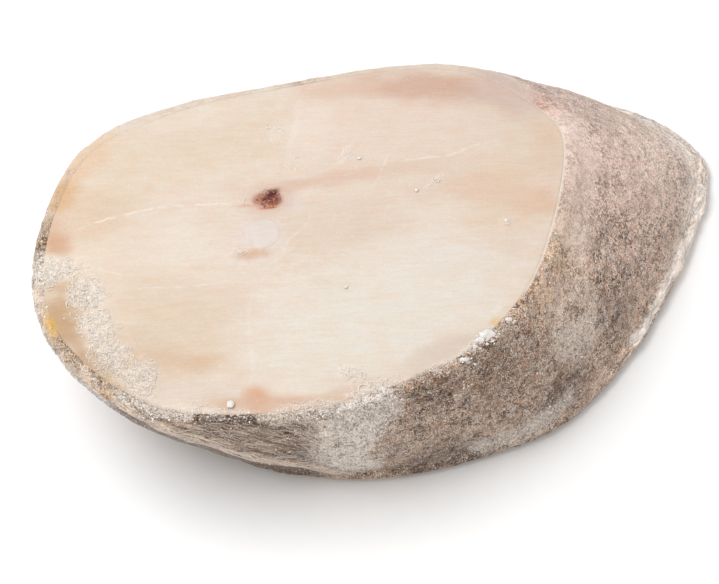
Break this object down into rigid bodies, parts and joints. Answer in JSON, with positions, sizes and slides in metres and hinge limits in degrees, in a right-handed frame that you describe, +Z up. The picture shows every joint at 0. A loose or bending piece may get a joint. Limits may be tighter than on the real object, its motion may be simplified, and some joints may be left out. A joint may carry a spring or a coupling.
{
  "type": "frozen hake steak",
  "caption": "Thick slant-cut slice of frozen white fish, with skin round its edge, a pale cut face, a round backbone and a small dark blood-filled canal.",
  "frame": {"origin": "middle of the slice's box in plan, on the surface it lies on", "axes": "+X along the slice's length, from its narrow left end to the skin that leans out on the right; +Y to the back; +Z up, through the slice from its lower cut face to its upper one"},
  "size_m": [0.1294, 0.0876, 0.0318],
  "materials": {
    "flesh": "pale frozen muscle, satin, faintly fibrous, with a thin ice glaze",
    "skin": "grey-brown scaly skin with dark speckles and white frost",
    "bone": "smooth translucent bone, faintly lilac",
    "blood": "frozen dark red-brown blood, granular and moist"
  },
  "bodies": {
    "root": {"flesh": "flesh", "skin": "skin", "backbone": "bone", "blood_canal": "blood"}
  },
  "joints": []
}
